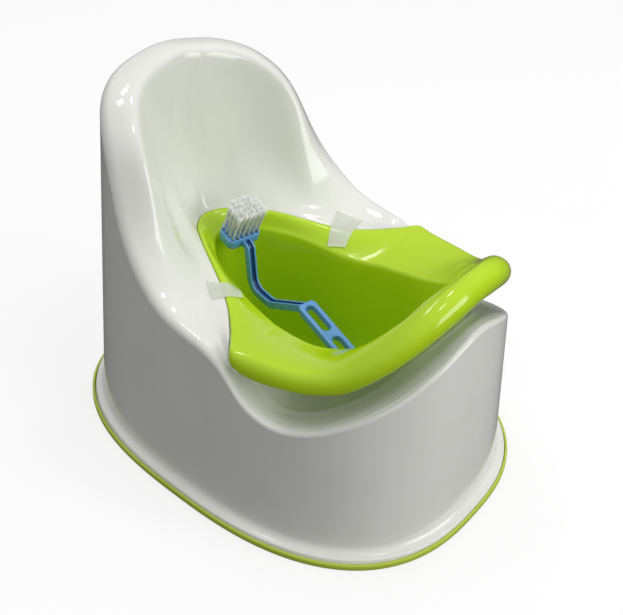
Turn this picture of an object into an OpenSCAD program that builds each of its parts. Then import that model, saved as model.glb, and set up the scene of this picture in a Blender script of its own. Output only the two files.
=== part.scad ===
// Potty training chair: one-piece white shell with a raised back, a soft grip
// ring round its foot, a lift-out pot with a splash guard, and a small brush.
// Frame: +Z up, the child faces -Y, origin at the centre of the footprint, mm.

/* [Overall] */
// Length of the footprint, front to back, over the grip ring
body_l = 380; // [320:5:440]
// Width of the footprint over the grip ring
body_w = 286; // [240:2:340]
// Height of the back above the floor
body_h = 294; // [240:2:340]

/* [Shell] */
// Wall of the moulded shell
wall = 2.5; // [2:0.1:4]
// How far each side leans in between the floor and body_h
side_draft = 23.7; // [15:0.1:32]
// How far the back leans in between the floor and body_h
back_draft = 30.9; // [20:0.1:40]
// How far the front leans in between the floor and body_h
front_draft = 23.3; // [15:0.1:32]
// Squareness of the plan outline, 2 is an ellipse
plan_power = 2.6; // [2.2:0.05:3.2]
// How far the foot stands out from the skirt
foot_out = 7.7; // [5:0.1:10]
// Radius of the hollow between skirt and foot
foot_fillet = 6; // [4:0.5:9]
// Edge radius of the back rim
roll_back = 8; // [5:0.5:10]
// Edge radius of the front rim
roll_front = 4; // [3:0.25:6]
// Width of the flat strip inside the front rim
strip_w = 25; // [18:1:32]
// Depth of the recess that takes the pot flange
recess = 3.2; // [2.8:0.1:4.5]
// Depth of the turned-down edge round the opening
skirt_down = 10; // [6:1:14]

/* [Grip ring] */
// Height of the grip ring
ring_h = 5; // [4:0.5:8]
// How far the ring stands out from the foot
ring_out = 2; // [1:0.1:3]
// Depth of the groove that takes the foot of the shell
groove_d = 3; // [2:0.25:4]
// Clearance on each side of the foot in the groove
groove_gap = 0.1; // [0.05:0.05:0.3]

/* [Pot] */
// Wall of the pot
pot_wall = 2.2; // [1.8:0.1:3]
// Gap between the pot flange and the shell round the seat
joint_gap = 1; // [0.6:0.1:2]
// How much wider that gap is at the tips of the arms
tip_gap = 0.8; // [0.4:0.1:1.5]
// Gap between the flange edge and the skirt outline at the sides
flange_in = 2; // [1:0.5:6]
// Plan width of the rolled edge of the flange
roll_w = 13; // [9:0.5:16]
// How far the lip of the splash guard curls under, degrees
curl = 35; // [0:5:45]
// Height of the bowl floor above the ground
floor_z = 22; // [14:1:40]
// Clearance between the bowl and the shell opening
bowl_gap = 7; // [5:0.5:10]

/* [Brush] */
// Width of the brush head
head_w = 31; // [28:0.5:36]
// Depth of the brush head
head_d = 24; // [23:0.5:28]
// Thickness of the brush head
head_t = 8; // [7:0.5:10]
// Length of the bristles above the head
bristle_l = 26; // [20:1:36]
// Sideways lean of the bristles, degrees
bristle_lean = 9; // [0:1:15]
// Width of the neck
neck_w = 7.5; // [6:0.25:9]
// Thickness of the neck and the grip
neck_t = 6; // [4:0.25:7]
// Width of the groove along the neck
neck_groove_w = 4; // [2.4:0.2:4.6]
// Depth of the groove along the neck
neck_groove_d = 2.2; // [1:0.1:2.6]
// Width of the grip loop
grip_w = 16; // [14:0.5:20]
// Length of the grip loop
grip_l = 87; // [64:1:92]

/* [Tape] */
// Thickness of the tape strips
tape_t = 0.4; // [0.2:0.05:0.6]
// Height of the tape above the surfaces it bridges
tape_gap = 0.5; // [0.3:0.05:1]

/* [Quality] */
// Divisions round the body
segs = 72; // [48:4:96]

/* [Hidden] */
// the stations below are for a 380 x 286 x 294 body and stretch with it
kx = body_w / 286;
ky = body_l / 380;
kz = body_h / 294;
// the radial sections all pass through this upright line on the centre plane
hub_y = -30;
outset = foot_out + ring_out;
head_gap = 0.2;
tuft_hole = 2.7;
tuft_pitch_x = 4.9;
tuft_pitch_y = 4.6;
tuft_depth = 5;
anchor = [1.7, 0.4, 0.8];

// Stations: [angle from the front about the hub, value]
rim_z = [[0, 171.5], [17, 159.5], [31, 141], [44, 124.5], [56, 112], [68, 109], [79, 120],
         [88, 140], [97, 149], [104, 151.5], [122, 169], [134, 205], [142, 248.5],
         [151, 273], [160, 284.5], [170, 290.5], [180, 294]];
rim_roll = [[0, 0], [70, 0], [95, 0.5], [130, 1], [180, 1]];
band_w = [[0, 2], [70, 2], [95, 8], [115, 18], [140, 22], [180, 22]];
band_fall = [[0, 0.2], [80, 0.2], [110, 4], [140, 9], [180, 7]];
// slope of the seat surface below the band and at the joint with the pot
slope_rim = [[0, 2], [85, 3], [104, 4], [118, 25], [135, 62], [150, 76], [180, 80]];
slope_seat = [[0, 2], [85, 2], [110, 4], [130, 10], [150, 30], [180, 62]];
// plan radius and height of the flange edge where it lies in the seat
seat_r = [[80, 132], [84, 121], [88, 110], [92, 101.5], [98, 93], [108, 84.5],
          [120, 80.5], [138, 84], [152, 95.5], [163, 110.5], [171, 124.5], [180, 132.5]];
seat_z = [[84, 153], [92, 151], [104, 149.5], [120, 150], [140, 154], [155, 158], [180, 158]];
// lower edge and crest of the flange where it stands free at the sides and front
lip_z = [[0, 192.5], [6, 191.5], [14, 187.5], [20, 182], [26, 175], [31, 168], [36, 161],
         [45, 150], [52, 146], [58, 143.5], [65, 142], [72, 140.5], [80, 141],
         [84, 144], [88, 148]];
crest_z = [[0, 212], [10, 210], [20, 203], [29, 191.5], [36, 180], [42, 170.5], [48, 162],
           [54, 157], [62, 154.5], [84, 153]];
// plan radius and height of the inner edge of the flange, and the bowl floor edge
mouth_r = [[0, 114], [10, 113], [17, 111], [24, 106.5], [34, 95], [45, 83], [56, 74],
           [66, 67], [77, 62], [90, 58], [103, 56.5], [120, 59.5], [140, 71],
           [155, 87], [168, 105], [180, 116]];
mouth_z = [[0, 205], [8, 204], [17, 195], [24, 180], [33, 160], [45, 148], [56, 143],
           [66, 141], [77, 140], [95, 138], [120, 139], [150, 145], [180, 148]];
floor_r = [[0, 78], [30, 72], [60, 50], [90, 40], [120, 44], [150, 70], [180, 90]];

// smooth curve through a list of stations, flat at both ends
function slot(s, x) = max([for (i = [0:len(s) - 2]) if (i == 0 || s[i][0] <= x) i]);
function rise(s, i) = (s[i + 1][1] - s[i][1]) / (s[i + 1][0] - s[i][0]);
function tilt(s, i) = i == 0 || i == len(s) - 1 ? 0 :
    let (a = s[i][0] - s[i - 1][0], b = s[i + 1][0] - s[i][0])
    (rise(s, i - 1) * b + rise(s, i) * a) / (a + b);
function at(s, x) =
    let (i = slot(s, x), h = s[i + 1][0] - s[i][0])
    let (u = min(1, max(0, (x - s[i][0]) / h)))
    (2 * u ^ 3 - 3 * u ^ 2 + 1) * s[i][1] + (u ^ 3 - 2 * u ^ 2 + u) * h * tilt(s, i)
    + (3 * u ^ 2 - 2 * u ^ 3) * s[i + 1][1] + (u ^ 3 - u ^ 2) * h * tilt(s, i + 1);
function ease(x, a, b) = let (u = min(1, max(0, (x - a) / (b - a)))) u * u * (3 - 2 * u);
function mix(a, b, t) = a * (1 - t) + b * t;
function soft_min(a, b, k) =
    let (h = min(1, max(0, 0.5 + 0.5 * (b - a) / k))) b + (a - b) * h - k * h * (1 - h);
function bez(a, b, c, d, n) =
    [for (i = [1:n]) let (u = i / n, v = 1 - u)
        v ^ 3 * a + 3 * u * v ^ 2 * b + 3 * u ^ 2 * v * c + u ^ 3 * d];
function dir(t) = [cos(t), sin(t)];

// plan outline of the skirt at height z, moved out by off, as a radius from the hub
// the stations stretch with the plan, while walls, gaps and edges keep their millimetres
function stretch(f) = norm([kx * sin(f), ky * cos(f)]);
function plan_x(r, f) = r * sin(f) * kx / stretch(f);
function plan_y(r, f) = hub_y * ky - r * cos(f) * ky / stretch(f);
function level(x, y, z, off) =
    let (a = body_w / 2 - outset - side_draft * z / body_h + off)
    let (lean = y > 0 ? back_draft : front_draft)
    let (b = body_l / 2 - outset - lean * z / body_h + off)
    (abs(x / a) ^ plan_power + abs(y / b) ^ plan_power) ^ (1 / plan_power);
function reach(f, z, off = 0, r = 150, n = 6) = n == 0 ? r :
    let (g = level(plan_x(r, f), plan_y(r, f), z, off))
    let (g1 = level(plan_x(r + 1, f), plan_y(r + 1, f), z, off))
    reach(f, z, off, r - (g - 1) / (g1 - g), n - 1);

// where the arms end, where the flange lies in the seat, where the splash guard stands
function arm(f) = ease(f, 82, 94);
function arm_in(f) = ease(f, 80, 89);
function nest(f) = ease(f, 83, 90);
function guard(f) = 1 - ease(f, 34, 60);
function gap(f) = joint_gap + tip_gap * (1 - ease(f, 94, 110));

// edge of the pot flange: in the seat at the back, along the outline at the front
function flange_r(f, z) =
    soft_min((f >= 80 ? at(seat_r, f) : 132 + 4 * (80 - f)) * stretch(f),
             reach(f, z, -flange_in * (1 - 0.8 * guard(f))), 4);
function flange_top(f) =
    mix((f < 84 ? at(crest_z, f) : 153), (f > 84 ? at(seat_z, f) : 153), nest(f)) * kz;
function mouth(f) = [at(mouth_r, f) * stretch(f), at(mouth_z, f) * kz];

// a second skin at distance w behind a section line
function unit(v) = v / max(norm(v), 1e-6);
function side(p, i) = let (d = unit(p[i + 1] - p[i])) [d[1], -d[0]];
function facing(p, i) = i == 0 ? side(p, 0) : i == len(p) - 1 ? side(p, i - 1) :
    let (a = side(p, i - 1), b = side(p, i), m = unit(a + b)) m / max(m * b, 0.75);
function behind(p, w) = [for (i = [0:len(p) - 1]) p[i] - w * facing(p, i)];
function flip(p) = [for (i = [len(p) - 1:-1:0]) p[i]];

// ---- shell sections ----
function foot_line(f) =
    let (z0 = ring_h - groove_d, z1 = ring_h + 2.5, o = reach(f, z1))
    [[reach(f, z0, foot_out), z0], [o + foot_out, z1 - 0.9], [o + foot_out - 0.9, z1],
     for (k = [0:30:90]) let (z = z1 + foot_fillet * (1 - cos(k)))
        [reach(f, z) + foot_fillet * (1 - sin(k)), z]];
function foot_back(f) =
    let (z0 = ring_h - groove_d, z1 = ring_h + 2.5 + foot_fillet, r = foot_fillet + wall)
    [[reach(f, z0, foot_out - wall), z0], [reach(f, z0 + 2.2, foot_out - wall), z0 + 2.2],
     [reach(f, z0 + 3) + foot_out - wall - 0.5, z0 + 3],
     for (k = [12, 40, 65, 90]) let (z = z1 - r * cos(k))
        [reach(f, z) + foot_fillet - r * sin(k), z]];
function rim_line(f) =
    let (top = at(rim_z, f) * kz, ro = mix(roll_front, roll_back, at(rim_roll, f)))
    let (z1 = top - ro, r1 = reach(f, z1), z0 = ring_h + 2.5 + foot_fillet)
    [for (u = [0.33, 0.66]) let (z = mix(z0, z1, u)) [reach(f, z), z],
     for (k = [0:22.5:90]) [r1 - ro * (1 - cos(k)), z1 + ro * sin(k)]];
// height of the seat, and radius of the bowl and of the opening it hangs in, at that height
function seat_level(f) = mix(at(rim_z, f) * kz - 3, flange_top(max(f, 84)), arm(f));
function bowl_r(f) =
    let (p = pot_line(f)) lookup(seat_level(f), [for (i = [19:-1:14]) [p[i][1], p[i][0]]]);
function opening_r(f) =
    let (top = at(rim_z, f) * kz, seat = flange_r(f, flange_top(max(f, 84))))
    min(bowl_r(f) + pot_wall + bowl_gap, mix(reach(f, top) - 22, seat + gap(f) - 6.5, arm_in(f)));
// point where the seat surface meets the recess for the pot, and the depth of that recess
function step(f) = mix(0.35, 1, arm(f)) * recess;
function seat_edge(f) =
    let (top = at(rim_z, f) * kz, s = arm(f), ze = flange_top(max(f, 84)))
    let (o = reach(f, top), strip = max(o - strip_w, opening_r(f) + 9))
    let (r = mix(strip, flange_r(f, ze) + gap(f), arm_in(f)))
    [s < 1 ? min(r, o - 8) : r, seat_level(f)];
function seat_line(f) =
    let (t0 = rim_line(f)[6], pa = seat_edge(f), b = min(at(band_w, f), (t0[0] - pa[0]) / 2))
    let (t1 = t0 - [b, at(band_fall, f)], d = norm(pa - t1))
    let (m = dir(at(slope_rim, f)), e = dir(at(slope_seat, f)))
    concat(bez(t0, t0 - [0.45 * b, 0], t1 + 0.35 * b * m, t1, 3),
           bez(t1, t1 - 0.42 * d * m, pa + 0.33 * d * e, pa, 7));
function recess_line(f) =
    let (pa = seat_edge(f), q = mix(3, 1, arm(f)), d = step(f), z = pa[1] - d)
    let (rc = opening_r(f))
    let (flange = [for (i = [6:12]) pot_line(f)[i]])
    let (mid = (rc + pa[0] - q) / 2)
    let (zm = min(z - 0.3, lookup(mid, flange) - d), zc = min(z - 0.6, lookup(rc, flange) - d))
    [pa - [0.1 * q, 0.15 * d], pa - [0.55 * q, 0.55 * d], [pa[0] - q, z],
     [mid, zm], [rc + 2.6, mix(zc, zm, 2.6 / (mid - rc))], [rc + 0.8, zc - 0.8],
     [rc, zc - 2.8], [rc, zc - skirt_down]];
function shell_section(f) =
    let (up = concat(rim_line(f), seat_line(f), recess_line(f)), foot = foot_line(f))
    let (back = behind(concat([foot[6]], up), wall))
    concat(foot, up, flip(concat(foot_back(f), [for (i = [1:len(up)]) back[i]])));

// ---- pot sections ----
function pot_line(f) =
    let (s = nest(f), zt = flange_top(f), rl = flange_r(f, zt - 8), a0 = -curl * guard(f))
    let (zl = mix(at(lip_z, min(f, 88)) * kz, zt - 2.4, s), h = zt - zl)
    let (w = mix(min(roll_w, max(2, 0.72 * h)), 1.6, s), hu = h / (1 - sin(a0)))
    let (k = [rl - w, zt], m = mouth(f), d = norm(k - m))
    let (t = 0.9 * atan2(k[1] - m[1], k[0] - m[0]))
    let (e = m - [2.4, 3.2], c = [at(floor_r, f) * stretch(f), floor_z], g = e - c)
    concat([for (i = [0:6]) let (a = mix(a0, 90, i / 6))
                [rl - w * (1 - cos(a)), zt - hu * (1 - sin(a))]],
           bez(k, k - [0.33 * d, 0.02 * d], m + 0.3 * d * dir(t) + [0, 0.02 * d], m, 6),
           [m - [1.4, 0.8], e],
           bez(e, e - [(0.22 + 0.35 * guard(f)) * g[0], 0.33 * g[1]],
               c + [0.22 * g[0] + 6, 0.33 * g[1]], c + [4, 18], 5),
           bez(c + [4, 18], c + [1.5, 7], c + [-5, 0.5], c - [16, 0], 4),
           [[(c[0] - 16) / 2, floor_z]]);
function pot_section(f) =
    let (p = pot_line(f), q = behind(p, pot_wall), s = nest(f))
    let (under = [for (i = [0:len(p) - 1]) i > 6 ? q[i] :
        mix(q[i], [mix(p[0][0] - 0.2, p[6][0], i / 6), p[0][1]], s)])
    concat(flip(under), p);

// ---- solids of revolution with a changing section ----
function spin(half, f) = let (n = segs, j = round(f))
    [for (p = half[min(j, n - j)]) let (a = 360 * j / n)
        [plan_x(p[0], a), plan_y(p[0], a), p[1]]];
function ring_points(half) = [for (j = [0:segs - 1]) each spin(half, j)];
function strip_faces(m, last) =
    [for (j = [0:segs - 1]) for (i = [0:last])
        let (k = (i + 1) % m, n = (j + 1) % segs)
        each [[j * m + i, j * m + k, n * m + k], [j * m + i, n * m + k, n * m + i]]];
module loft_closed(half) {
    m = len(half[0]);
    polyhedron(points = ring_points(half), faces = strip_faces(m, m - 1), convexity = 10);
}
module loft_capped(half, z_under, z_top) {
    m = len(half[0]);
    n = m * segs;
    polyhedron(
        points = concat(ring_points(half), [[0, hub_y * ky, z_under], [0, hub_y * ky, z_top]]),
        faces = concat(strip_faces(m, m - 2),
            [for (j = [0:segs - 1]) [n, j * m, ((j + 1) % segs) * m]],
            [for (j = [0:segs - 1]) [j * m + m - 1, n + 1, ((j + 1) % segs) * m + m - 1]]),
        convexity = 10);
}
half_turn = [for (j = [0:segs / 2]) 360 * j / segs];

module shell() {
    color("white") loft_closed([for (f = half_turn) shell_section(f)]);
}

module grip_ring() {
    z = ring_h - groove_d - groove_gap;
    lo = foot_out - wall - groove_gap;
    hi = foot_out + groove_gap;
    color("yellowgreen") loft_closed([for (f = half_turn) [
        [reach(f, 0, outset), 0], [reach(f, ring_h, outset), ring_h],
        [reach(f, ring_h, hi), ring_h], [reach(f, z, hi), z],
        [reach(f, z, lo), z], [reach(f, ring_h - 1.2, lo), ring_h - 1.2],
        [reach(f, ring_h - 1.2, lo - 2), ring_h - 1.2], [reach(f, 0, lo - 2), 0]]]);
}

module pot() {
    color("limegreen")
        loft_capped([for (f = half_turn) pot_section(f)], floor_z - pot_wall, floor_z);
}

// ---- brush ----
// head frame: X along the head, Y to its rear edge, Z the way the bristles point
brush_at = [-0.4 * kx, 54.5 * ky, 152 * kz];
brush_turn = -11.5;
head_lean = 17.5;
// neck corners in the side view of the brush [forward, up], with bend radii;
// it starts square on the front face of the head
neck_root = -4.2 * [sin(head_lean), cos(head_lean)];
neck_path = [neck_root, neck_root + 6 * dir(-head_lean), [9, -44.5], [36, -45.5], [82, -22]];
neck_bend = [0, 4, 13, 16, 0];
grip_fall = -16;

module brush_place() {
    translate(brush_at) rotate([0, 0, brush_turn]) children();
}
module head_place() {
    brush_place() rotate([head_lean, 0, 0]) children();
}
module head_plan() {
    c = 3;
    r = 8;
    x = head_w / 2;
    polygon([[-x + c, 0], [x - c, 0], [x, c], [x, head_d - r], [x - r, head_d],
             [r - x, head_d], [-x, head_d - r], [-x, c]]);
}
function row_count(k) = k == 4 ? 4 : 6;
module at_tufts(k) {
    for (i = [0:row_count(k) - 1])
        translate([(i - (row_count(k) - 1) / 2) * tuft_pitch_x, 2.9 + k * tuft_pitch_y, 0])
            children();
}
module head() {
    head_place() difference() {
        translate([0, 0, -head_t]) linear_extrude(height = head_t) head_plan();
        for (k = [0:4]) at_tufts(k)
            translate([0, 0, -tuft_depth])
                cylinder(d = tuft_hole, h = tuft_depth + 1, $fn = 24);
    }
}
function heading(i) = let (d = neck_path[i + 1] - neck_path[i]) atan2(d[1], d[0]);
function cut_back(i) = neck_bend[i] == 0 ? 0 :
    neck_bend[i] * tan(abs(heading(i) - heading(i - 1)) / 2);
// centre line of the neck as [forward, up, heading], straight between the bends
function bend_line(i) =
    let (t0 = heading(i - 1), t1 = heading(i), r = neck_bend[i], g = t1 > t0 ? 1 : -1)
    let (c = neck_path[i] - cut_back(i) * dir(t0) + g * r * [-sin(t0), cos(t0)])
    [for (k = [0:4]) let (t = mix(t0, t1, k / 4))
        [c[0] + g * r * sin(t), c[1] - g * r * cos(t), t]];
neck_line = concat([[each neck_path[0], heading(0)]],
    [for (i = [1:3]) each bend_line(i)], [[each neck_path[4], heading(3)]]);
module neck() {
    w = neck_w / 2;
    h = neck_t / 2;
    gw = neck_groove_w / 2;
    gh = h - neck_groove_d;
    cut = [[-w, -h], [-w, h], [-gw, h], [-gw, gh], [gw, gh], [gw, h], [w, h], [w, -h]];
    m = len(cut);
    n = len(neck_line);
    polyhedron(
        points = [for (p = neck_line) for (c = cut)
            [c[0], c[1] * sin(p[2]) - p[0], p[1] + c[1] * cos(p[2])]],
        faces = concat([[for (k = [m - 1:-1:0]) k]], [[for (k = [0:m - 1]) (n - 1) * m + k]],
            [for (i = [0:n - 2]) for (k = [0:m - 1]) let (q = (k + 1) % m)
                [i * m + k, i * m + q, (i + 1) * m + q, (i + 1) * m + k]]),
        convexity = 8);
}
module slot_plan(y0, y1, w) {
    translate([-w / 2, y0 + w / 2]) square([w, y1 - y0 - w]);
    translate([0, y0 + w / 2]) circle(d = w, $fn = 48);
    translate([0, y1 - w / 2]) circle(d = w, $fn = 48);
}
// the grip is cut square across the end of the neck, which meets it there
module grip() {
    p = neck_path[4];
    hole = grip_w - 7.6;
    translate([0, -p[0], p[1]]) difference() {
        rotate([90 - grip_fall, 0, 0]) rotate([90, 0, 0])
            translate([0, -6, -neck_t / 2]) linear_extrude(height = neck_t) difference() {
                slot_plan(0, grip_l, grip_w);
                slot_plan(7, 34, hole);
                slot_plan(41, grip_l - 4, hole);
            }
        rotate([-heading(3), 0, 0])
            translate([-grip_w, 0, -2 * grip_w]) cube([2 * grip_w, 2 * grip_w, 4 * grip_w]);
    }
}
module brush_head() {
    color("cornflowerblue") head();
}
module brush_neck() {
    color("cornflowerblue") brush_place() neck();
}
module brush_grip() {
    color("cornflowerblue") brush_place() grip();
}
module tuft_row(k) {
    color("honeydew") head_place() at_tufts(k)
        translate([0, 0, anchor[2] + head_gap - tuft_depth]) {
            cylinder(d = tuft_hole - 2 * head_gap, h = tuft_depth + 1, $fn = 20);
            translate([0, 0, tuft_depth]) rotate([0, bristle_lean, 0])
                cylinder(d1 = tuft_hole - 2 * head_gap, d2 = 4.3, h = bristle_l, $fn = 20);
        }
}
module tuft_row_1() { tuft_row(0); }
module tuft_row_2() { tuft_row(1); }
module tuft_row_3() { tuft_row(2); }
module tuft_row_4() { tuft_row(3); }
module tuft_row_5() { tuft_row(4); }
module tuft_anchors() {
    color("silver") head_place() for (k = [0:4]) at_tufts(k)
        translate([-anchor[0] / 2, -anchor[1] / 2, -tuft_depth]) cube(anchor);
}

// ---- tape strips from the flange of the pot to the seat ----
function cover(f) =
    let (p = pot_line(f), s = seat_line(f))
    concat([for (i = [6:12]) p[i]], [for (i = [3:9]) s[i]]);
function tape_points(s, f0, f1, r0, r1, skew, up) =
    [for (u = [0:8]) for (v = [0:4])
        let (f = mix(f0, f1, v / 4) - skew * u / 8, r = mix(r0, r1, u / 8) * stretch(f))
        [s * plan_x(r, f), plan_y(r, f), lookup(r, cover(f)) + up]];
module tape(s, f0, f1, r0, r1, skew) {
    n = 5;
    q = 45;
    low = tape_points(s, f0, f1, r0, r1, skew, tape_gap);
    high = tape_points(s, f0, f1, r0, r1, skew, tape_gap + tape_t);
    top = [for (i = [0:7]) for (j = [0:3]) let (a = i * n + j)
        each [[a, a + n, a + n + 1], [a, a + n + 1, a + 1]]];
    rim = concat([for (j = [0:3]) j], [for (i = [0:7]) i * n + 4],
                 [for (j = [4:-1:1]) 8 * n + j], [for (i = [8:-1:1]) i * n]);
    edge = [for (i = [0:len(rim) - 1]) let (a = rim[i], b = rim[(i + 1) % len(rim)])
        each [[a, a + q, b + q], [a, b + q, b]]];
    under = [for (t = top) [t[0], t[2], t[1]]];
    over = [for (t = top) [t[0] + q, t[1] + q, t[2] + q]];
    all = concat(under, over, edge);
    polyhedron(points = concat(low, high),
               faces = s > 0 ? [for (t = all) [t[0], t[2], t[1]]] : all, convexity = 4);
}
module tape_near() {
    color("ivory") tape(-1, 121, 133, 66, 92, 2);
}
module tape_far() {
    color("ivory") tape(1, 114, 128, 62, 97, 4);
}

shell();
grip_ring();
pot();
brush_head();
brush_neck();
brush_grip();
tuft_row_1();
tuft_row_2();
tuft_row_3();
tuft_row_4();
tuft_row_5();
tuft_anchors();
tape_near();
tape_far();
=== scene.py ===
import math

import bmesh
import bpy
import numpy as np
from mathutils import Matrix, Vector


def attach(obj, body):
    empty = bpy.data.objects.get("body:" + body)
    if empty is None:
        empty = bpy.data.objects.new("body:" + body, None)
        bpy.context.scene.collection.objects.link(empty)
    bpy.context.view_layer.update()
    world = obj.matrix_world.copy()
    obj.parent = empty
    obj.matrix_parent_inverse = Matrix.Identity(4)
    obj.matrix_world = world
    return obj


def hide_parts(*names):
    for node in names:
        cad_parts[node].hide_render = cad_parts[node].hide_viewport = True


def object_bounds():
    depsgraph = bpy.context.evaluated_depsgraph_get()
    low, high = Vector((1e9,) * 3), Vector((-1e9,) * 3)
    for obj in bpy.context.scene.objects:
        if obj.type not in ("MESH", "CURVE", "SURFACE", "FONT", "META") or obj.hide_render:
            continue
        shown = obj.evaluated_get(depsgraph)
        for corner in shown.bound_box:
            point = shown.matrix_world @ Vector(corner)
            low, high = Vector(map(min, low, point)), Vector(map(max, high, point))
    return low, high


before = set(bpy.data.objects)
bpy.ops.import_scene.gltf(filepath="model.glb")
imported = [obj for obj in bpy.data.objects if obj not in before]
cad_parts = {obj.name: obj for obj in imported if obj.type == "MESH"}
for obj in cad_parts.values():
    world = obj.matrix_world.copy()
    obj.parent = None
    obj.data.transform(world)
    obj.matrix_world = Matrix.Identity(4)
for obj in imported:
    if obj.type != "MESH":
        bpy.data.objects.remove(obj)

MM = 0.001
CAD_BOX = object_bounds()


# ---------------------------------------------------------------- camera
# azimuth from the front, elevation and roll in degrees, then where it looks and from how far, in metres
VIEW_ANGLES = (-50.96, 36.4, 2.11)
LOOK_AT, DISTANCE, LENS = (0.00118, -0.01589, 0.11523), 0.6972, 49.67


def make_camera():
    az, el, roll = (math.radians(a) for a in VIEW_ANGLES)
    right = Vector((math.cos(az), math.sin(az), 0))
    back = Vector((math.sin(az) * math.cos(el), -math.cos(az) * math.cos(el), math.sin(el)))
    up = back.cross(right)
    side = math.cos(roll) * right + math.sin(roll) * up
    top = math.cos(roll) * up - math.sin(roll) * right
    place = Vector(LOOK_AT) + DISTANCE * back
    data = bpy.data.cameras.new("camera")
    data.sensor_width = 36
    data.lens = LENS
    data.clip_start = 0.01
    cam = bpy.data.objects.new("camera", data)
    bpy.context.scene.collection.objects.link(cam)
    cam.matrix_world = Matrix([(side[i], top[i], back[i], place[i]) for i in range(3)] + [(0, 0, 0, 1)])
    bpy.context.scene.camera = cam


make_camera()

# ---------------------------------------------------------------- sizes, in mm, as in the CAD
LOW, HIGH = [[v / MM for v in p] for p in CAD_BOX]
BODY_W, BODY_L, BODY_H = (HIGH[i] - LOW[i] for i in range(3))
KX, KY, KZ = BODY_W / 286, BODY_L / 380, BODY_H / 294
HUB_Y = -30
WALL, POT_WALL = 2.5, 2.2
SIDE_DRAFT, BACK_DRAFT, FRONT_DRAFT = 23.7, 30.9, 23.3
PLAN_POWER = 2.6
FOOT_OUT, FOOT_FILLET, RING_OUT, RING_H = 7.7, 6, 2, 5
OUTSET = FOOT_OUT + RING_OUT
GROOVE_D, GROOVE_GAP = 3, 0.1
ROLL_BACK, ROLL_FRONT = 8, 4
STRIP_W, RECESS, SKIRT_DOWN = 25, 3.2, 10
JOINT_GAP, TIP_GAP, FLANGE_IN = 1, 0.8, 2
ROLL_W, CURL, FLOOR_Z, BOWL_GAP = 13, 35, 22, 7

RIM_Z = [[0, 171.5], [17, 159.5], [31, 141], [44, 124.5], [56, 112], [68, 109], [79, 120],
         [88, 140], [97, 149], [104, 151.5], [122, 169], [134, 205], [142, 248.5],
         [151, 273], [160, 284.5], [170, 290.5], [180, 294]]
RIM_ROLL = [[0, 0], [70, 0], [95, 0.5], [130, 1], [180, 1]]
BAND_W = [[0, 2], [70, 2], [95, 8], [115, 18], [140, 22], [180, 22]]
BAND_FALL = [[0, 0.2], [80, 0.2], [110, 4], [140, 9], [180, 7]]
SLOPE_RIM = [[0, 2], [85, 3], [104, 4], [118, 25], [135, 62], [150, 76], [180, 80]]
SLOPE_SEAT = [[0, 2], [85, 2], [110, 4], [130, 10], [150, 30], [180, 62]]
SEAT_R = [[80, 132], [84, 121], [88, 110], [92, 101.5], [98, 93], [108, 84.5],
          [120, 80.5], [138, 84], [152, 95.5], [163, 110.5], [171, 124.5], [180, 132.5]]
SEAT_Z = [[84, 153], [92, 151], [104, 149.5], [120, 150], [140, 154], [155, 158], [180, 158]]
LIP_Z = [[0, 192.5], [6, 191.5], [14, 187.5], [20, 182], [26, 175], [31, 168], [36, 161],
         [45, 150], [52, 146], [58, 143.5], [65, 142], [72, 140.5], [80, 141],
         [84, 144], [88, 148]]
CREST_Z = [[0, 212], [10, 210], [20, 203], [29, 191.5], [36, 180], [42, 170.5], [48, 162],
           [54, 157], [62, 154.5], [84, 153]]
MOUTH_R = [[0, 114], [10, 113], [17, 111], [24, 106.5], [34, 95], [45, 83], [56, 74],
           [66, 67], [77, 62], [90, 58], [103, 56.5], [120, 59.5], [140, 71],
           [155, 87], [168, 105], [180, 116]]
MOUTH_Z = [[0, 205], [8, 204], [17, 195], [24, 180], [33, 160], [45, 148], [56, 143],
           [66, 141], [77, 140], [95, 138], [120, 139], [150, 145], [180, 148]]
FLOOR_R = [[0, 78], [30, 72], [60, 50], [90, 40], [120, 44], [150, 70], [180, 90]]

SEGS = 288
F = np.linspace(0, 180, SEGS // 2 + 1)


# ---------------------------------------------------------------- curves through the stations
def raw_at(s, x):
    s = np.array(s, float)
    xs, ys = s[:, 0], s[:, 1]
    rise = np.diff(ys) / np.diff(xs)
    tilt = np.zeros(len(xs))
    for i in range(1, len(xs) - 1):
        a, b = xs[i] - xs[i - 1], xs[i + 1] - xs[i]
        tilt[i] = (rise[i - 1] * b + rise[i] * a) / (a + b)
    i = np.clip(np.searchsorted(xs, x, side="right") - 1, 0, len(xs) - 2)
    h = xs[i + 1] - xs[i]
    u = np.clip((x - xs[i]) / h, 0, 1)
    return ((2 * u**3 - 3 * u**2 + 1) * ys[i] + (u**3 - 2 * u**2 + u) * h * tilt[i]
            + (3 * u**2 - 2 * u**3) * ys[i + 1] + (u**3 - u**2) * h * tilt[i + 1])


def at(s, x, soft=2.5):
    """The CAD's station curve, eased over a few degrees so that gloss runs smoothly along it."""
    x = np.asarray(x, float)
    total = 0
    for step, weight in ((-1, 1), (-0.5, 3), (0, 4), (0.5, 3), (1, 1)):
        y = np.abs(x + step * soft)
        total = total + weight * raw_at(s, np.where(y > 180, 360 - y, y))
    return total / 12


def ease(x, a, b):
    u = np.clip((x - a) / (b - a), 0, 1)
    return u * u * (3 - 2 * u)


def mix(a, b, t):
    return a * (1 - t) + b * t


def soft_min(a, b, k):
    h = np.clip(0.5 + 0.5 * (b - a) / k, 0, 1)
    return b + (a - b) * h - k * h * (1 - h)


def pt(r, z):
    r, z = np.broadcast_arrays(np.asarray(r, float), np.asarray(z, float))
    return np.stack([r, z], -1)


def heading(degrees):
    t = np.radians(degrees)
    return np.stack([np.cos(t), np.sin(t)], -1)


def bez(a, b, c, d, n):
    out = []
    for i in range(1, n + 1):
        u = i / n
        v = 1 - u
        out.append(v**3 * a + 3 * u * v * v * b + 3 * u * u * v * c + u**3 * d)
    return out


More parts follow.
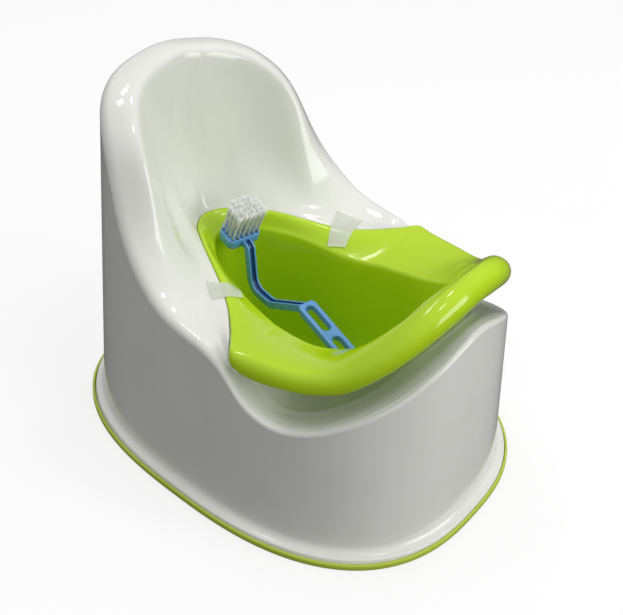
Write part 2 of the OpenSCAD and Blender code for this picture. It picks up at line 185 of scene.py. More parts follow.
def level(x, y, z, off):
    a = BODY_W / 2 - OUTSET - SIDE_DRAFT * z / BODY_H + off
    lean = np.where(y > 0, BACK_DRAFT, FRONT_DRAFT)
    b = BODY_L / 2 - OUTSET - lean * z / BODY_H + off
    return (np.abs(x / a) ** PLAN_POWER + np.abs(y / b) ** PLAN_POWER) ** (1 / PLAN_POWER)


def plan(r, f):
    f = np.radians(f)
    return r * np.sin(f) * KX, (HUB_Y - r * np.cos(f)) * KY


def reach(f, z, off=0.0):
    r = 150 + 0 * f
    for _ in range(7):
        g = level(*plan(r, f), z, off)
        r = r - (g - 1) / (level(*plan(r + 1, f), z, off) - g)
    return r


def arm(f): return ease(f, 82, 94)
def arm_in(f): return ease(f, 80, 89)
def nest(f): return ease(f, 83, 90)
def guard(f): return 1 - ease(f, 34, 60)
def gap(f): return JOINT_GAP + TIP_GAP * (1 - ease(f, 94, 110))


def flange_r(f, z):
    inner = np.where(f >= 80, raw_at(SEAT_R, f), 132 + 4 * (80 - f))
    return soft_min(inner, reach(f, z, -FLANGE_IN * (1 - 0.8 * guard(f))), 4)


def flange_top(f):
    return mix(at(CREST_Z, np.minimum(f, 84)), at(SEAT_Z, np.maximum(f, 84)), nest(f)) * KZ


def behind(p, w):
    """A second skin w behind a section line, as the CAD makes it."""
    p = np.stack(p, 1)
    d = np.diff(p, axis=1)
    d = d / np.maximum(np.linalg.norm(d, axis=2, keepdims=True), 1e-6)
    s = np.stack([d[..., 1], -d[..., 0]], -1)
    m = s[:, :-1] + s[:, 1:]
    m = m / np.maximum(np.linalg.norm(m, axis=2, keepdims=True), 1e-6)
    m = m / np.maximum((m * s[:, 1:]).sum(2, keepdims=True), 0.75)
    facing = np.concatenate([s[:, :1], m, s[:, -1:]], 1)
    q = p - w * facing
    return [q[:, i] for i in range(q.shape[1])]


# ---------------------------------------------------------------- sections
def pot_line(f, bead, slope, lip, wall, sole):
    s, zt = nest(f), flange_top(f)
    rl, a0 = flange_r(f, zt - 8), -CURL * guard(f)
    zl = mix(at(LIP_Z, np.minimum(f, 88)) * KZ, zt - 2.4, s)
    h = zt - zl
    w = mix(np.minimum(ROLL_W, np.maximum(2, 0.72 * h)), 1.6, s)
    hu = h / (1 - np.sin(np.radians(a0)))
    k, m = pt(rl - w, zt), pt(at(MOUTH_R, f), at(MOUTH_Z, f) * KZ)
    d = np.linalg.norm(k - m, axis=1)[:, None]
    t = 0.9 * np.degrees(np.arctan2(k[:, 1] - m[:, 1], k[:, 0] - m[:, 0]))
    e, c = m - [2.4, 3.2], pt(at(FLOOR_R, f), FLOOR_Z)
    g = e - c
    p = []
    for i in range(bead + 1):
        a = np.radians(mix(a0, 90, i / bead))
        p.append(pt(rl - w * (1 - np.cos(a)), zt - hu * (1 - np.sin(a))))
    near = m + 0.3 * d * heading(t) + pt(0 * zt, 0.02 * d[:, 0])
    p += bez(k, k - np.concatenate([0.33 * d, 0.02 * d], 1), near, m, slope)
    down = heading(t) * 0.9
    p += bez(m, m - down, e + [0.35, 1.4], e, lip)
    low = c + [4, 18]
    p += bez(e, e - pt((0.22 + 0.35 * guard(f)) * g[:, 0], 0.33 * g[:, 1]),
             c + pt(0.22 * g[:, 0] + 6, 0.33 * g[:, 1]), low, wall)
    p += bez(low, c + [1.5, 7], c + [-5, 0.5], c - [16, 0], sole)
    for share in (0.66, 0.33):
        p.append(pt((c[:, 0] - 16) * share, FLOOR_Z))
    return p


def pot_section(f):
    top = pot_line(f, 22, 26, 5, 18, 10)
    rough = pot_line(f, 8, 8, 2, 8, 5)
    q, s = behind(rough, POT_WALL), nest(f)[:, None]
    for i in range(9):
        flat = pt(mix(rough[0][:, 0] - 0.2, rough[8][:, 0], i / 8), rough[0][:, 1])
        q[i] = mix(q[i], flat, s)
    return q[::-1] + top


def seat_level(f): return mix(at(RIM_Z, f) * KZ - 3, flange_top(np.maximum(f, 84)), arm(f))
def step(f): return mix(0.35, 1, arm(f)) * RECESS


def bowl_r(f):
    wall = np.stack(pot_line(f, 6, 6, 2, 5, 4)[14:20], 1)
    return np.array([np.interp(z, w[::-1, 1], w[::-1, 0]) for z, w in zip(seat_level(f), wall)])


def opening_r(f):
    top = at(RIM_Z, f) * KZ
    seat = flange_r(f, flange_top(np.maximum(f, 84)))
    return np.minimum(bowl_r(f) + POT_WALL + BOWL_GAP,
                      mix(reach(f, top) - 22, seat + gap(f) - 6.5, arm_in(f)))


def seat_edge(f):
    top, s, ze = at(RIM_Z, f) * KZ, arm(f), flange_top(np.maximum(f, 84))
    o = reach(f, top)
    r = mix(np.maximum(o - STRIP_W, opening_r(f) + 9), flange_r(f, ze) + gap(f), arm_in(f))
    return pt(np.where(s < 1, np.minimum(r, o - 8), r), seat_level(f))


def rim_line(f, tall, arc):
    top = at(RIM_Z, f) * KZ
    ro = mix(ROLL_FRONT, ROLL_BACK, at(RIM_ROLL, f))
    z1, z0 = top - ro, RING_H + 2.5 + FOOT_FILLET
    r1 = reach(f, z1)
    p = [pt(reach(f, mix(z0, z1, i / tall)), mix(z0, z1, i / tall)) for i in range(1, tall)]
    for i in range(arc + 1):
        a = math.radians(90 * i / arc)
        p.append(pt(r1 - ro * (1 - math.cos(a)), z1 + ro * math.sin(a)))
    return p


def seat_line(f, band, slope):
    t0, pa = rim_line(f, 3, 4)[-1], seat_edge(f)
    b = np.minimum(at(BAND_W, f), (t0[:, 0] - pa[:, 0]) / 2)
    t1 = t0 - pt(b, at(BAND_FALL, f))
    d = np.linalg.norm(pa - t1, axis=1)[:, None]
    m, e = heading(at(SLOPE_RIM, f)), heading(at(SLOPE_SEAT, f))
    return (bez(t0, t0 - pt(0.45 * b, 0), t1 + 0.35 * b[:, None] * m, t1, band)
            + bez(t1, t1 - 0.42 * d * m, pa + 0.33 * d * e, pa, slope))


def recess_line(f, edge):
    pa, q, rc = seat_edge(f), mix(3, 1, arm(f)), opening_r(f)
    d = step(f)
    z = pa[:, 1] - d
    flange = np.stack(pot_line(f, 6, 6, 2, 5, 4)[6:13], 1)
    mid = (rc + pa[:, 0] - q) / 2
    under = lambda r: np.array([np.interp(a, b[::-1, 0], b[::-1, 1]) for a, b in zip(r, flange)])
    zm = np.minimum(z - 0.3, under(mid) - d)
    zc = np.minimum(z - 0.6, under(rc) - d)
    foot = pt(pa[:, 0] - q, z)
    side = bez(pa, pa - pt(0.55 * q, 0.05 * d), foot + pt(0.35 * q, 0.6 * d), foot, edge)
    return side + [pt(mid, zm), pt(rc + 2.6, mix(zc, zm, 2.6 / (mid - rc))),
                   pt(rc + 1.4, zc - 0.35), pt(rc + 0.5, zc - 1.2), pt(rc, zc - 2.8),
                   pt(rc, zc - SKIRT_DOWN)]


def foot_line(f, arc):
    z0, z1 = RING_H - GROOVE_D, RING_H + 2.5
    o = reach(f, z1)
    p = [pt(reach(f, z0, FOOT_OUT), z0), pt(o + FOOT_OUT, z1 - 1.1)]
    for i in range(1, 4):
        a = math.radians(30 * i)
        p.append(pt(o + FOOT_OUT - 1.1 * (1 - math.cos(a)), z1 - 1.1 * (1 - math.sin(a))))
    for i in range(arc + 1):
        k = math.radians(90 * i / arc)
        z = z1 + FOOT_FILLET * (1 - math.cos(k))
        p.append(pt(reach(f, z) + FOOT_FILLET * (1 - math.sin(k)), z))
    return p


def foot_back(f):
    z0, z1, r = RING_H - GROOVE_D, RING_H + 2.5 + FOOT_FILLET, FOOT_FILLET + WALL
    p = [pt(reach(f, z0, FOOT_OUT - WALL), z0), pt(reach(f, z0 + 2.2, FOOT_OUT - WALL), z0 + 2.2),
         pt(reach(f, z0 + 3) + FOOT_OUT - WALL - 0.5, z0 + 3)]
    for k in (12, 40, 65, 90):
        k = math.radians(k)
        z = z1 - r * math.cos(k)
        p.append(pt(reach(f, z) + FOOT_FILLET - r * math.sin(k), z))
    return p


def shell_section(f):
    foot = foot_line(f, 8)
    fine = foot + rim_line(f, 12, 12) + seat_line(f, 8, 26) + recess_line(f, 6)
    rough = [foot[-1]] + rim_line(f, 4, 4) + seat_line(f, 3, 7) + recess_line(f, 3)
    back = foot_back(f) + behind(rough, WALL)[1:]
    return fine + back[::-1]


def ring_section(f):
    z, lo, hi = RING_H - GROOVE_D - GROOVE_GAP, FOOT_OUT - WALL - GROOVE_GAP, FOOT_OUT + GROOVE_GAP
    p = [(0, OUTSET - 0.7), (0.25, OUTSET - 0.25), (0.8, OUTSET), (RING_H - 0.8, OUTSET),
         (RING_H - 0.25, OUTSET - 0.25), (RING_H, OUTSET - 0.7), (RING_H, hi + 0.3),
         (RING_H - 0.3, hi), (z, hi), (z, lo), (RING_H - 1.2, lo), (RING_H - 1.2, lo - 2), (0, lo - 2)]
    return [pt(reach(f, h, off), h) for h, off in p]


# ---------------------------------------------------------------- meshes
def add_mesh(name, verts, faces, sharp=35):
    mesh = bpy.data.meshes.new(name)
    mesh.from_pydata([tuple(float(c) * MM for c in v) for v in verts], [], faces)
    mesh.update()
    obj = bpy.data.objects.new(name, mesh)
    bpy.context.scene.collection.objects.link(obj)
    finish_mesh(obj, sharp)
    return obj


def finish_mesh(obj, sharp=35):
    bm = bmesh.new()
    bm.from_mesh(obj.data)
    bmesh.ops.remove_doubles(bm, verts=bm.verts, dist=1e-6)
    bmesh.ops.recalc_face_normals(bm, faces=bm.faces)
    bm.to_mesh(obj.data)
    bm.free()
    obj.data.shade_smooth()
    obj.data.set_sharp_from_angle(angle=math.radians(sharp))


def spin(name, line, closed=True, sharp=35):
    half = np.stack(line, 1)
    m = half.shape[1]
    verts, faces = [], []
    for j in range(SEGS):
        a = 360 * j / SEGS
        row = half[min(j, SEGS - j)]
        x, y = plan(row[:, 0], a)
        verts += list(zip(x, y, row[:, 1]))
    for j in range(SEGS):
        n = (j + 1) % SEGS
        for i in range(m if closed else m - 1):
            k = (i + 1) % m
            faces.append((j * m + i, j * m + k, n * m + k, n * m + i))
    if not closed:
        last = len(verts)
        verts += [(0, HUB_Y * KY, half[0, 0, 1]), (0, HUB_Y * KY, half[0, -1, 1])]
        for j in range(SEGS):
            n = (j + 1) % SEGS
            faces += [(last, j * m, n * m), (j * m + m - 1, last + 1, n * m + m - 1)]
    return add_mesh(name, verts, faces, sharp)


# ---------------------------------------------------------------- materials
def material(name):
    mat = bpy.data.materials.new(name)
    mat.use_nodes = True
    nodes, links = mat.node_tree.nodes, mat.node_tree.links
    return mat, nodes, links, nodes["Principled BSDF"]


def noise(nodes, links, coord, scale, detail=3.0, rough=0.5):
    n = nodes.new("ShaderNodeTexNoise")
    n.inputs["Scale"].default_value = scale
    n.inputs["Detail"].default_value = detail
    n.inputs["Roughness"].default_value = rough
    links.new(coord, n.inputs["Vector"])
    return n.outputs["Fac"]


def ramp(nodes, links, fac, low, high, a=0.3, b=0.7):
    n = nodes.new("ShaderNodeMapRange")
    n.inputs["From Min"].default_value = a
    n.inputs["From Max"].default_value = b
    n.inputs["To Min"].default_value = low
    n.inputs["To Max"].default_value = high
    links.new(fac, n.inputs["Value"])
    return n.outputs["Result"]


def blend_colour(nodes, links, fac, a, b):
    n = nodes.new("ShaderNodeMix")
    n.data_type = "RGBA"
    n.inputs["A"].default_value = (*a, 1)
    n.inputs["B"].default_value = (*b, 1)
    links.new(fac, n.inputs["Factor"])
    return n.outputs["Result"]


def plastic(name, colour, dark, rough, rough_to, grain, bump, sss=0.0, sss_colour=None):
    """Moulded plastic: slow colour drift, fine uneven gloss, and the faint skin of the mould."""
    mat, nodes, links, shader = material(name)
    coord = nodes.new("ShaderNodeTexCoord").outputs["Object"]
    drift = ramp(nodes, links, noise(nodes, links, coord, 18, 2.0), 0, 1)
    links.new(blend_colour(nodes, links, drift, colour, dark), shader.inputs["Base Color"])
    gloss = noise(nodes, links, coord, 60, 4.0, 0.6)
    links.new(ramp(nodes, links, gloss, rough, rough_to), shader.inputs["Roughness"])
    skin = noise(nodes, links, coord, grain, 2.0)
    n = nodes.new("ShaderNodeBump")
    n.inputs["Strength"].default_value = bump
    n.inputs["Distance"].default_value = 0.0004
    links.new(skin, n.inputs["Height"])
    links.new(n.outputs["Normal"], shader.inputs["Normal"])
    shader.inputs["IOR"].default_value = 1.49
    if sss:
        shader.inputs["Subsurface Weight"].default_value = sss
        shader.inputs["Subsurface Radius"].default_value = sss_colour
        shader.inputs["Subsurface Scale"].default_value = 0.004
    return mat


WHITE = plastic("white_polypropylene", (0.815, 0.815, 0.775), (0.785, 0.79, 0.745), 0.07, 0.12, 900, 0.06,
                sss=0.12, sss_colour=(1.0, 0.95, 0.8))
GREEN = plastic("green_polypropylene", (0.50, 0.72, 0.012), (0.47, 0.69, 0.010), 0.08, 0.14, 800, 0.06,
                sss=0.1, sss_colour=(0.6, 1.0, 0.1))
RUBBER = plastic("green_grip_rubber", (0.50, 0.62, 0.06), (0.46, 0.58, 0.05), 0.42, 0.55, 2500, 0.35)
BLUE = plastic("blue_plastic", (0.13, 0.36, 0.76), (0.11, 0.33, 0.71), 0.22, 0.32, 1500, 0.12)
# a darker blue that is painted shade, for the walls and floors of the head's holes and the neck's groove
PAINTED_SHADE_BLUE = plastic("blue_plastic_painted_shade", (0.012, 0.07, 0.25), (0.010, 0.06, 0.22), 0.3, 0.4, 1500, 0.12)
STEEL = plastic("staple_steel", (0.6, 0.6, 0.6), (0.5, 0.5, 0.5), 0.3, 0.45, 3000, 0.2)
for node in STEEL.node_tree.nodes:
    if node.type == "BSDF_PRINCIPLED":
        node.inputs["Metallic"].default_value = 1


def nylon():
    mat, nodes, links, shader = material("nylon_bristle")
    coord = nodes.new("ShaderNodeTexCoord").outputs["Object"]
    n = noise(nodes, links, coord, 260, 2.0)
    links.new(blend_colour(nodes, links, ramp(nodes, links, n, 0, 1), (0.97, 0.98, 0.96), (0.92, 0.95, 0.90)),
              shader.inputs["Base Color"])
    links.new(ramp(nodes, links, n, 0.28, 0.42), shader.inputs["Roughness"])
    shader.inputs["Subsurface Weight"].default_value = 0.5
    shader.inputs["Subsurface Radius"].default_value = (1.0, 1.0, 0.8)
    shader.inputs["Subsurface Scale"].default_value = 0.002
    return mat


def tape_film():
    mat, nodes, links, shader = material("milky_tape")
    coord = nodes.new("ShaderNodeTexCoord").outputs["Object"]
    n = noise(nodes, links, coord, 120, 4.0, 0.6)
    links.new(blend_colour(nodes, links, ramp(nodes, links, n, 0, 1), (0.86, 0.88, 0.80), (0.78, 0.81, 0.70)),
              shader.inputs["Base Color"])
    links.new(ramp(nodes, links, n, 0.18, 0.3), shader.inputs["Roughness"])
    links.new(ramp(nodes, links, n, 0.42, 0.6), shader.inputs["Alpha"])
    crinkle = noise(nodes, links, coord, 300, 3.0)
    b = nodes.new("ShaderNodeBump")
    b.inputs["Strength"].default_value = 0.35
    b.inputs["Distance"].default_value = 0.0004
    links.new(crinkle, b.inputs["Height"])
    links.new(b.outputs["Normal"], shader.inputs["Normal"])
    return mat


NYLON = nylon()
TAPE = tape_film()


def hand_over(obj, body, nodes, slot, *mats):
    for mat in mats:
        obj.data.materials.append(mat)
    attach(obj, body)
    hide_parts(*nodes)


# ---------------------------------------------------------------- chair and pot
hand_over(spin("moulded_shell", shell_section(F)), "chair", ["shell"], "white_shell", WHITE)
hand_over(spin("foot_grip_ring", ring_section(F)), "chair", ["grip_ring"], "green_grip", RUBBER)
hand_over(spin("lift_out_pot", pot_section(F), closed=False), "pot", ["pot"], "green_pot", GREEN)

# ---------------------------------------------------------------- brush
HEAD_W, HEAD_D, HEAD_T = 31, 24, 8
BRISTLE_L, BRISTLE_LEAN = 26, 9
NECK_W, NECK_T, GROOVE_W, GROOVE_DEEP = 7.5, 6, 4, 2.2
GRIP_W, GRIP_L, GRIP_FALL = 16, 87, -16
# both bars together, how far the loop starts before the neck's end, and the two slots along it
GRIP_BARS, GRIP_OVER = 7.6, 6
SLOT_A, SLOT_B = (7, 34), (41, GRIP_L - 4)
BRUSH_TURN, HEAD_LEAN = -11.5, 17.5
PITCH_X, PITCH_Y, HOLE, DEEP = 4.9, 4.6, 2.7, 5
PLACE = (Matrix.Translation((-0.4 * KX, 54.5 * KY, 152 * KZ))
         @ Matrix.Rotation(math.radians(BRUSH_TURN), 4, "Z"))
HEAD = PLACE @ Matrix.Rotation(math.radians(HEAD_LEAN), 4, "X")


def direction(t):
    return Vector((math.cos(math.radians(t)), math.sin(math.radians(t))))


# the neck starts on the front face of the head, this far below its top, and leaves it square
NECK_BELOW, NECK_LEAD = 4.2, 6
ROOT = Vector((-NECK_BELOW * math.sin(math.radians(HEAD_LEAN)),
               -NECK_BELOW * math.cos(math.radians(HEAD_LEAN))))
NECK_PATH = [ROOT, ROOT + NECK_LEAD * direction(-HEAD_LEAN),
             Vector((9, -44.5)), Vector((36, -45.5)), Vector((82, -22))]
NECK_BEND = [0, 4, 13, 16, 0]


def turn_of(i):
    d = NECK_PATH[i + 1] - NECK_PATH[i]
    return math.degrees(math.atan2(d.y, d.x))


def neck_line():
    line = [(*NECK_PATH[0], turn_of(0))]
    for i in (1, 2, 3):
        t0, t1, r = turn_of(i - 1), turn_of(i), NECK_BEND[i]
        g = 1 if t1 > t0 else -1
        back = r * math.tan(math.radians(abs(t1 - t0) / 2))
        n0 = Vector((-math.sin(math.radians(t0)), math.cos(math.radians(t0))))
        c = NECK_PATH[i] - back * direction(t0) + g * r * n0
        for k in range(13):
            t = t0 + (t1 - t0) * k / 12
            line.append((c.x + g * r * math.sin(math.radians(t)), c.y - g * r * math.cos(math.radians(t)), t))
    line.append((*NECK_PATH[4], turn_of(3)))
    return line


def rounded(points, radius, steps=4):
    """A closed outline with its corners rounded."""
    out = []
    n = len(points)
    for i in range(n):
        p, a, b = (Vector(points[j % n]) for j in (i, i - 1, i + 1))
        u, v = (a - p).normalized(), (b - p).normalized()
        r = min(radius, (a - p).length * 0.45, (b - p).length * 0.45)
        for k in range(steps + 1):
            t = k / steps
            out.append((1 - t) ** 2 * (p + u * r) + 2 * t * (1 - t) * p + t * t * (p + v * r))
    return out


def apply_all(obj):
    """The object's modifiers or curve settings, made into its mesh."""
    bpy.context.view_layer.update()
    mesh = bpy.data.meshes.new_from_object(obj.evaluated_get(bpy.context.evaluated_depsgraph_get()))
    made = bpy.data.objects.new(obj.name + "_mesh", mesh)
    bpy.context.scene.collection.objects.link(made)
    name = obj.name
    bpy.data.objects.remove(obj)
    made.name = name
    return made


def prism(name, outline, z0, z1, bevel):
    bm = bmesh.new()
    low = [bm.verts.new((p[0] * MM, p[1] * MM, z0 * MM)) for p in outline]
    face = bm.faces.new(low)
    top = bmesh.ops.extrude_face_region(bm, geom=[face])["geom"]
    bmesh.ops.translate(bm, verts=[v for v in top if isinstance(v, bmesh.types.BMVert)],
                        vec=(0, 0, (z1 - z0) * MM))
    bmesh.ops.recalc_face_normals(bm, faces=bm.faces)
    if bevel:
        edges = [e for e in bm.edges if e.is_manifold and e.calc_face_angle(0) > math.radians(30)]
        bmesh.ops.bevel(bm, geom=edges, offset=bevel * MM, segments=3, profile=0.5, affect="EDGES")
    mesh = bpy.data.meshes.new(name)
    bm.to_mesh(mesh)
    bm.free()
    obj = bpy.data.objects.new(name, mesh)
    bpy.context.scene.collection.objects.link(obj)
    return obj


def row_count(k):
    return 4 if k == 4 else 6


def tufts():
    for k in range(5):
        for i in range(row_count(k)):
            yield k, (i - (row_count(k) - 1) / 2) * PITCH_X, 2.9 + k * PITCH_Y


def make_head():
    c, r, x = 3, 8, HEAD_W / 2
    outline = [(-x + c, 0), (x - c, 0), (x, c), (x, HEAD_D - r), (x - r, HEAD_D),
               (r - x, HEAD_D), (-x, HEAD_D - r), (-x, c)]
    head = prism("brush_head_block", rounded(outline, 1.2, 3), -HEAD_T, 0, 0.35)
    bm = bmesh.new()
    for _, tx, ty in tufts():
        bmesh.ops.create_cone(bm, cap_ends=True, segments=20, radius1=HOLE / 2 * MM, radius2=HOLE / 2 * MM,
                              depth=(DEEP + 1) * MM,
                              matrix=Matrix.Translation((tx * MM, ty * MM, (1 - DEEP) / 2 * MM)))
    mesh = bpy.data.meshes.new("drill")
    bm.to_mesh(mesh)
    bm.free()
    drill = bpy.data.objects.new("drill", mesh)
    bpy.context.scene.collection.objects.link(drill)
    cut = head.modifiers.new("holes", "BOOLEAN")
    cut.operation, cut.solver, cut.object = "DIFFERENCE", "EXACT", drill
    head = apply_all(head)
    bpy.data.objects.remove(drill)
    # the walls and floors of the holes get the darker blue, painted shade in the holes
    head.data.materials.append(BLUE)
    head.data.materials.append(PAINTED_SHADE_BLUE)
    for p in head.data.polygons:
        c = p.center / MM
        inside = any(math.hypot(c.x - tx, c.y - ty) < HOLE / 2 + 0.05 for _, tx, ty in tufts())
        if inside and -DEEP - 0.1 < c.z < -0.05:
            p.material_index = 1
    head.data.transform(scaled(HEAD))
    finish_mesh(head, 30)
    return head


def scaled(matrix):
    """A placing matrix in mm, for mesh data in metres."""
    m = matrix.copy()
    m.translation = m.translation * MM
    return m


def make_neck():
    w, h, gw = NECK_W / 2, NECK_T / 2, GROOVE_W / 2
    gh = h - GROOVE_DEEP
    cut = [(-w, -h), (-w, h), (-gw, h), (-gw, gh), (gw, gh), (gw, h), (w, h), (w, -h)]
    outline = rounded(cut, 0.45, 3)
    m = len(outline)
    line = neck_line()
    verts, faces = [], []
    for f, u, t in line:
        s, c = math.sin(math.radians(t)), math.cos(math.radians(t))
        verts += [PLACE @ Vector((p[0], p[1] * s - f, u + p[1] * c)) for p in outline]
    for i in range(len(line) - 1):
        for k in range(m):
            q = (k + 1) % m
            faces.append((i * m + k, i * m + q, (i + 1) * m + q, (i + 1) * m + k))
    faces.append(tuple(range(m)))
    faces.append(tuple((len(line) - 1) * m + k for k in range(m))[::-1])
    neck = add_mesh("brush_neck_bar", verts, faces, 50)
    neck.data.materials.append(BLUE)
    neck.data.materials.append(PAINTED_SHADE_BLUE)
    # the groove's floor and walls get the darker blue, painted shade in the groove
    back = PLACE.inverted()
    for p in neck.data.polygons:
        c = back @ (p.center / MM)
        at_line = min(line, key=lambda s: (s[0] + c.y) ** 2 + (s[1] - c.z) ** 2)
        t = math.radians(at_line[2])
        up = (-c.y - at_line[0]) * -math.sin(t) + (c.z - at_line[1]) * math.cos(t)
        if abs(c.x) < gw + 0.1 and gh - 0.3 < up < h - 0.35 and len(p.vertices) == 4:
            p.material_index = 1
    return neck


def make_grip():
    bevel = 0.9
    curve = bpy.data.curves.new("brush_grip_loop", "CURVE")
    curve.dimensions, curve.fill_mode = "2D", "BOTH"
    curve.extrude, curve.bevel_depth, curve.bevel_resolution = (NECK_T / 2 - bevel) * MM, bevel * MM, 3
    curve.offset = -bevel * MM
    hole = GRIP_W - GRIP_BARS
    for y0, y1, w, turn in ((0, GRIP_L, GRIP_W, 1), (*SLOT_A, hole, -1), (*SLOT_B, hole, -1)):
        r = w / 2
        pts = []
        for cy, start in ((y1 - r, 0), (y0 + r, 180)):
            for k in range(25):
                a = math.radians(start + 180 * k / 24)
                pts.append((r * math.cos(a), cy + r * math.sin(a)))
        if turn < 0:
            pts = pts[::-1]
        spline = curve.splines.new("POLY")
        spline.points.add(len(pts) - 1)
        for point, (x, y) in zip(spline.points, pts):
            point.co = (x * MM, (y - GRIP_OVER) * MM, 0, 1)
        spline.use_cyclic_u = True
    grip = bpy.data.objects.new("brush_grip_loop", curve)
    bpy.context.scene.collection.objects.link(grip)
    grip = apply_all(grip)
    p = NECK_PATH[4]
    put = Matrix.Translation((0, -p.x, p.y)) @ Matrix.Rotation(math.radians(180 - GRIP_FALL), 4, "X")
    grip.data.transform(scaled(PLACE @ put))
    t = math.radians(turn_of(3))
    on = PLACE @ Vector((0, -p.x, p.y))
    normal = PLACE.to_3x3() @ Vector((0, -math.cos(t), math.sin(t)))
    bm = bmesh.new()
    bm.from_mesh(grip.data)
    bmesh.ops.remove_doubles(bm, verts=bm.verts, dist=1e-6)
    cut = bmesh.ops.bisect_plane(bm, geom=bm.verts[:] + bm.edges[:] + bm.faces[:],
                                 plane_co=on * MM, plane_no=normal, clear_inner=True)
    rim = [e for e in cut["geom_cut"] if isinstance(e, bmesh.types.BMEdge)]
    bmesh.ops.contextual_create(bm, geom=rim)
    bm.to_mesh(grip.data)
    bm.free()
    finish_mesh(grip, 40)
    return grip


hand_over(make_head(), "brush", ["brush_head"], "blue_plastic")
hand_over(make_neck(), "brush", ["brush_neck"], "blue_plastic")
hand_over(make_grip(), "brush", ["brush_grip"], "blue_plastic", BLUE)


def make_bristles(k, seed):
    """One row of tufts, each a bundle of nylon filaments that fans out and is worn uneven at the top."""
    rng = np.random.default_rng(seed)
    verts, faces = [], []
    sides, steps, count = 4, 5, 38
    lean = math.tan(math.radians(BRISTLE_LEAN))
    for row, tx, ty in tufts():
        if row != k:
            continue
        own = rng.normal(0, 0.25, 2)
        tall = BRISTLE_L * (1 + rng.normal(0, 0.012))
        for i in range(count):
            share = math.sqrt((i + 0.5) / count)
            a = i * 2.39996
            base = np.array([math.cos(a), math.sin(a)]) * share * (HOLE / 2 - 0.55) + [0.25, 0.3]
            tip = np.array([math.cos(a), math.sin(a)]) * share * 2.2 + own + rng.normal(0, 0.28, 2)
            length = tall * (1 - 0.02 * share + rng.normal(0, 0.015))
            tip = tip + [lean * length, 0]
            wave = rng.normal(0, 0.18, 2)
            r = 0.14
            first = len(verts)
            for s in range(steps + 1):
                u = s / steps
                mid = np.array([tx, ty]) + base * (1 - u) + tip * (u**1.15) + wave * math.sin(math.pi * u)
                z = -3 + (length + 3) * u
                rr = r * (1 if s < steps else 0.7)
                for q in range(sides):
                    b = math.pi / 4 + q * math.pi / 2 + a
                    verts.append(HEAD @ Vector((mid[0] + rr * math.cos(b), mid[1] + rr * math.sin(b), z)))
            for s in range(steps):
                for q in range(sides):
                    p, n = first + s * sides + q, first + s * sides + (q + 1) % sides
                    faces.append((p, n, n + sides, p + sides))
            faces.append(tuple(first + q for q in range(sides))[::-1])
            faces.append(tuple(first + steps * sides + q for q in range(sides)))
    mesh = bpy.data.meshes.new("bristle_row_%d" % (k + 1))
    mesh.from_pydata([tuple(v * MM) for v in verts], [], faces)
    mesh.update()
    mesh.shade_smooth()
    obj = bpy.data.objects.new(mesh.name, mesh)
    bpy.context.scene.collection.objects.link(obj)
    return obj


for row in range(5):
    hand_over(make_bristles(row, 40 + row), "brush", ["tuft_row_%d" % (row + 1)], "bristle", NYLON)

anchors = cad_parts["tuft_anchors"]
anchors.data.materials.clear()
anchors.data.materials.append(STEEL)


# ---------------------------------------------------------------- tape
def make_tape(name, side, f0, f1, r0, r1, skew, seed, tail):
    """A strip of film laid over the joint, a little crinkled, with one end standing off."""
    rng = np.random.default_rng(seed)
    nu, nv, thick, clear, crinkle = 48, 16, 0.12, 0.42, 0.05
    ripple = rng.normal(0, 1, (6, 3))
    spots = [(u / nu, v / nv) for u in range(nu + 1) for v in range(nv + 1)]
    angles = np.array([mix(f0, f1, b) - skew * a for a, b in spots])
    cover = np.stack(pot_line(angles, 6, 8, 2, 5, 4)[6:15] + seat_line(angles, 5, 12)[4:], 1)
    verts, faces = [], []
    for layer in (0, 1):
        for (a, b), f, line in zip(spots, angles, cover):
            r = mix(r0, r1, a)
            line = line[np.argsort(line[:, 0])]
            z = np.interp(r, line[:, 0], line[:, 1])
            wave = sum(g[0] * math.sin(3 + 9 * g[1] * a + 7 * g[2] * b) for g in ripple)
            x, y = plan(r, f)
            verts.append((side * x, y, z + clear + crinkle * wave + tail(a, b) + thick * layer))
    m, q = nv + 1, (nu + 1) * (nv + 1)
    for u in range(nu):
        for v in range(nv):
            a = u * m + v
            faces += [(a, a + m, a + m + 1, a + 1), (a + q + 1, a + m + 1 + q, a + m + q, a + q)]
    rim = ([v for v in range(nv)] + [u * m + nv for u in range(nu)]
           + [nu * m + v for v in range(nv, 0, -1)] + [u * m for u in range(nu, 0, -1)])
    for i, a in enumerate(rim):
        b = rim[(i + 1) % len(rim)]
        faces.append((a, b, b + q, a + q))
    return add_mesh(name, verts, faces, 60)


near = make_tape("near_tape_strip", -1, 121, 133, 66, 92, 2, 7,
                 lambda a, b: 2.2 * max(0, 1 - a * 3.4) ** 2 * (1 - 0.5 * b))
far = make_tape("far_tape_strip", 1, 114, 128, 62, 97, 4, 11,
                lambda a, b: 0.9 * max(0, 1 - a * 5) ** 2)
hand_over(near, "pot", ["tape_near"], "clear_tape", TAPE)
hand_over(far, "pot", ["tape_far"], "clear_tape", TAPE)


# ---------------------------------------------------------------- stage, in metres
FLOOR_HALF, DOME_R = 6, 5.5
# the sky from straight below (0) to straight above (1), with its brightness
SKY = [(0.0, 0.10), (0.45, 0.13), (0.62, 0.32), (0.85, 0.85), (1.0, 0.95)]
CEILING, PANEL = 1.9, (0.26, 0.16)
PANELS = [(-0.10, 0.55), (0.30, 0.75), (0.05, -0.6), (0.6, 0.1)]


def pale(name, glow):
    """A pale matt surface that glows enough to stay pale whatever light falls on it."""
    mat, nodes, links, shader = material(name)
    coord = nodes.new("ShaderNodeTexCoord").outputs["Object"]
    drift = noise(nodes, links, coord, 3, 2.0)
    links.new(blend_colour(nodes, links, drift, (0.31, 0.31, 0.31), (0.29, 0.29, 0.29)),
              shader.inputs["Base Color"])
    shader.inputs["Roughness"].default_value = 0.9
    shader.inputs["Specular IOR Level"].default_value = 0.1
    shader.inputs["Emission Color"].default_value = (1, 1, 1, 1)
    shader.inputs["Emission Strength"].default_value = glow
    return mat


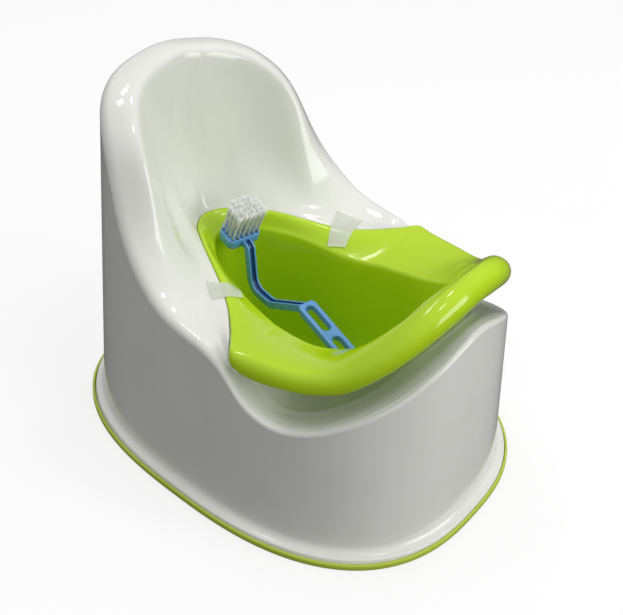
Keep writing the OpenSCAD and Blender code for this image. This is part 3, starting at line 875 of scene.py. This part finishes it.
def make_stage():
    """A pale floor, and a pale dome round it, neither of which lights the object."""
    s = FLOOR_HALF
    mesh = bpy.data.meshes.new("floor")
    mesh.from_pydata([(-s, -s, 0), (s, -s, 0), (s, s, 0), (-s, s, 0)], [], [(0, 1, 2, 3)])
    mesh.materials.append(pale("pale_floor", 0.69))
    floor = bpy.data.objects.new("floor", mesh)
    bm = bmesh.new()
    bmesh.ops.create_uvsphere(bm, u_segments=48, v_segments=24, radius=DOME_R)
    mesh = bpy.data.meshes.new("dome")
    bm.to_mesh(mesh)
    bm.free()
    mesh.shade_smooth()
    mesh.materials.append(pale("pale_dome", 0.8))
    dome = bpy.data.objects.new("dome", mesh)
    for obj in (floor, dome):
        bpy.context.scene.collection.objects.link(obj)
        obj.visible_diffuse = obj.visible_glossy = obj.visible_transmission = False
    dome.visible_shadow = False


def area(name, place, aim, size, power):
    data = bpy.data.lights.new(name, "AREA")
    data.shape = "RECTANGLE"
    data.size, data.size_y = size
    data.energy = power
    obj = bpy.data.objects.new(name, data)
    bpy.context.scene.collection.objects.link(obj)
    obj.location = place
    obj.rotation_euler = (Vector(aim) - Vector(place)).to_track_quat("-Z", "Y").to_euler()


def make_light():
    """Soft light from above and in front, little from the sides, and ceiling panels to glint in the gloss."""
    world = bpy.data.worlds.new("studio")
    bpy.context.scene.world = world
    world.use_nodes = True
    nodes, links = world.node_tree.nodes, world.node_tree.links
    split = nodes.new("ShaderNodeSeparateXYZ")
    links.new(nodes.new("ShaderNodeTexCoord").outputs["Generated"], split.inputs["Vector"])
    rise = nodes.new("ShaderNodeMapRange")
    rise.inputs["From Min"].default_value = -1
    links.new(split.outputs["Z"], rise.inputs["Value"])
    sky = nodes.new("ShaderNodeValToRGB")
    while len(sky.color_ramp.elements) < len(SKY):
        sky.color_ramp.elements.new(0.5)
    for element, (place, v) in zip(sky.color_ramp.elements, SKY):
        element.position = place
        element.color = (v, v, v, 1)
    links.new(rise.outputs["Result"], sky.inputs["Fac"])
    links.new(sky.outputs["Color"], nodes["Background"].inputs["Color"])
    nodes["Background"].inputs["Strength"].default_value = 0.90
    area("front_softbox", (0.5, -2.0, 0.9), (0, 0, 0.1), (1.4, 1.0), 21)
    for i, (x, y) in enumerate(PANELS):
        area("ceiling_panel_%d" % (i + 1), (x, y, CEILING), (x, y, 0), PANEL, 2.0)


make_stage()
make_light()

bpy.context.scene.view_settings.view_transform = "Standard"
